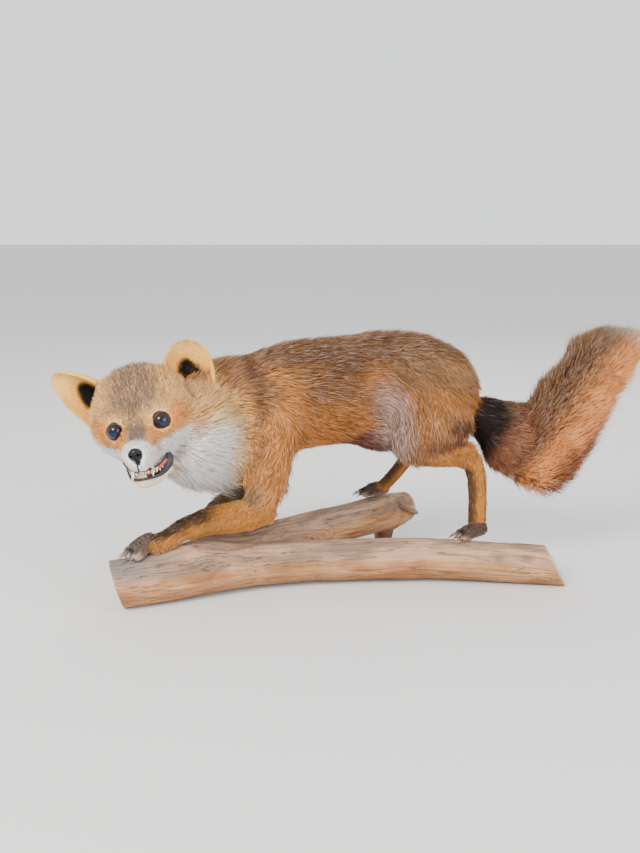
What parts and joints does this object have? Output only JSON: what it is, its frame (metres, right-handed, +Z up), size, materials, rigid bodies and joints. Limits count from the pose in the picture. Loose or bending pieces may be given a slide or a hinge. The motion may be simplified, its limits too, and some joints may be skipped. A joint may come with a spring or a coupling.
{
  "type": "taxidermy red fox mount",
  "caption": "Life-size mounted red fox stalking over a forked branch, with its head turned to one side and its mouth open.",
  "frame": {"origin": "middle of the footprint, on the floor under the branch", "axes": "+X runs from the head to the tail, -Y is the side that the face looks to, +Z is up"},
  "size_m": [1.0226, 0.405, 0.4384],
  "materials": {
    "grey_coat": "grizzled grey-brown fur",
    "coat": "rust-orange fur",
    "dark_coat": "brown-black fur",
    "brush": "long orange and grey-brown fur",
    "bare_ear": "thin cream-yellow skin with short hair",
    "bare_skin": "bare cream skin",
    "tongue": "moist red",
    "nose": "moist black, pebbled",
    "eye": "dark polished glass",
    "claw": "dark horn",
    "wood": "bare weathered wood"
  },
  "bodies": {
    "root": {"head": "grey_coat", "jaw": "bare_skin", "tongue": "tongue", "nose": "nose", "eye_right": "eye", "eye_left": "eye", "ear_right": "bare_ear", "ear_left": "bare_ear", "neck": "coat", "trunk": "coat", "tail_root": "dark_coat", "tail_brush": "brush", "tail_tip": "brush", "foreleg_left_upper": "coat", "foreleg_left_forearm": "coat", "foreleg_left_paw": "dark_coat", "foreleg_left_claw_1": "claw", "foreleg_left_claw_2": "claw", "foreleg_left_claw_3": "claw", "foreleg_left_claw_4": "claw", "foreleg_left_dewclaw": "claw", "foreleg_right_upper": "coat", "foreleg_right_forearm": "coat", "foreleg_right_paw": "dark_coat", "foreleg_right_claw_1": "claw", "foreleg_right_claw_2": "claw", "foreleg_right_claw_3": "claw", "foreleg_right_claw_4": "claw", "foreleg_right_dewclaw": "claw", "hindleg_left_thigh": "coat", "hindleg_left_shank": "coat", "hindleg_left_metatarsus": "coat", "hindleg_left_paw": "dark_coat", "hindleg_left_claw_1": "claw", "hindleg_left_claw_2": "claw", "hindleg_left_claw_3": "claw", "hindleg_left_claw_4": "claw", "hindleg_right_thigh": "coat", "hindleg_right_shank": "coat", "hindleg_right_metatarsus": "coat", "hindleg_right_paw": "dark_coat", "hindleg_right_claw_1": "claw", "hindleg_right_claw_2": "claw", "hindleg_right_claw_3": "claw", "hindleg_right_claw_4": "claw", "branch_front": "wood", "branch_rear": "wood"}
  },
  "joints": []
}
